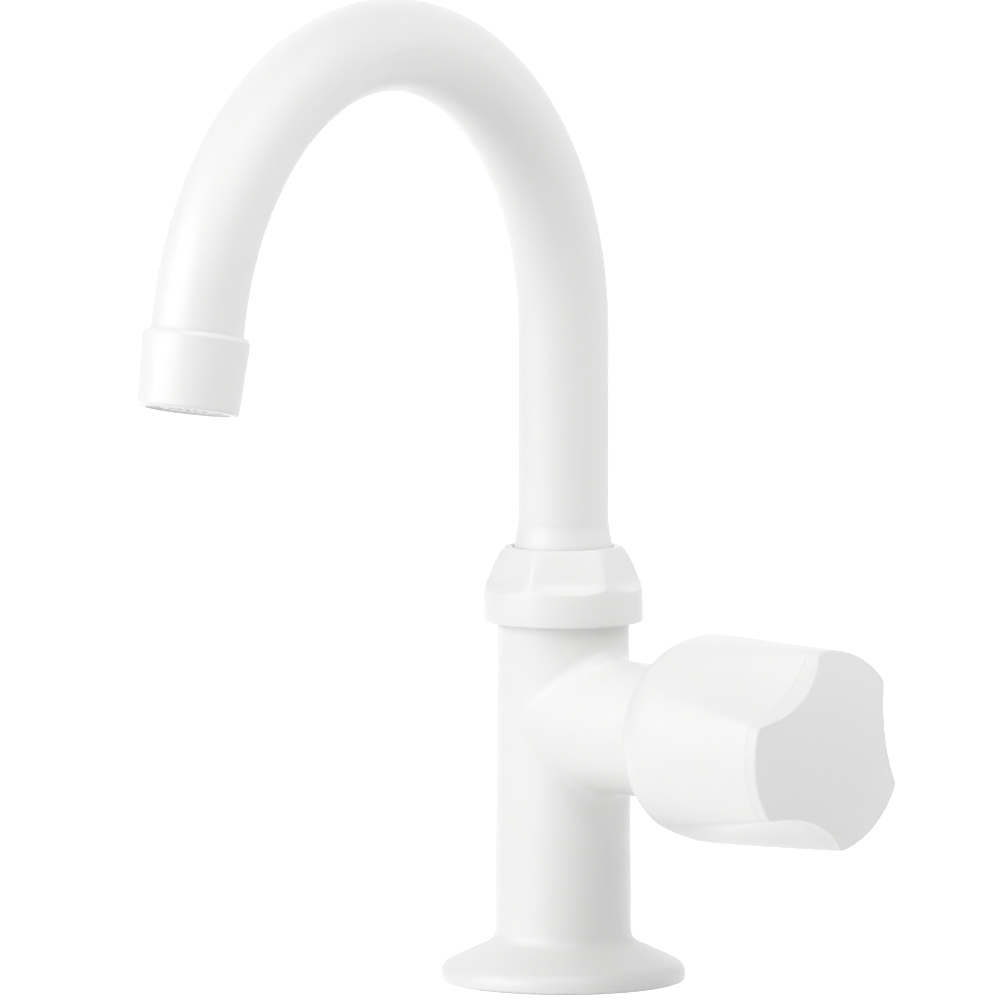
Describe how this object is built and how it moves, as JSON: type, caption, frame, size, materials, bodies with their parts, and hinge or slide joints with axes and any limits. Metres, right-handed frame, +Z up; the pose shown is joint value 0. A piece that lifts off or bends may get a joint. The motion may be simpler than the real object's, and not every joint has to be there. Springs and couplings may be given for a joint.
{
  "type": "basin tap",
  "caption": "Deck-mounted basin tap with a swivelling swan-neck spout, a round flanged column, a leaning-flat union nut and a fluted knob on a side valve branch.",
  "frame": {"origin": "centre of the flange's underside, on the deck's top face", "axes": "+Z up along the column and the spout's swivel axis, +X out along the valve branch, -Y the front, over the basin"},
  "size_m": [0.114, 0.1714, 0.2662],
  "materials": {
    "white_gloss": "smooth gloss moulding",
    "acetal": "satin moulding",
    "aerator": "satin moulding",
    "rubber": "matt",
    "brass": "turned",
    "steel": "bright"
  },
  "bodies": {
    "body": {"tap_body": "white_gloss", "deck_gasket": "rubber", "fixing_washer": "acetal", "fixing_nut": "acetal", "union_nut": "white_gloss", "slip_washer": "acetal", "bonnet": "brass", "bonnet_o_ring": "rubber", "thrust_washer": "acetal"},
    "spout": {"spout_ferrule": "white_gloss", "spout_o_ring_lower": "rubber", "spout_o_ring_upper": "rubber", "spout_clip_ring": "acetal", "spout_tube": "white_gloss", "outlet_cap": "white_gloss", "outlet_washer": "rubber", "aerator_cup": "aerator", "aerator_screens": "steel"},
    "handle": {"spindle": "brass", "spindle_o_ring_inner": "rubber", "spindle_o_ring_outer": "rubber", "spindle_clip": "steel", "knob": "white_gloss", "knob_cap": "white_gloss", "knob_screw": "steel"},
    "plunger": {"plunger": "brass", "seat_washer": "rubber", "washer_screw": "steel"}
  },
  "joints": [
    {"name": "spout_swivel", "type": "hinge", "parent": "body", "child": "spout", "pos_m": [0, 0, 0.084], "axis": [0, 0, 1], "continuous": true},
    {"name": "handle_turn", "type": "hinge", "parent": "body", "child": "handle", "pos_m": [0.05, 0, 0.0576], "axis": [1, 0, 0], "range_deg": [0, 540]},
    {"name": "plunger_lift", "type": "slide", "parent": "body", "child": "plunger", "axis": [1, 0, 0], "range_m": [0, 0.00375]}
  ],
  "couplings": [
    {"joint": "plunger_lift", "follows": "handle_turn", "m_per_rad": 0.00039789}
  ]
}
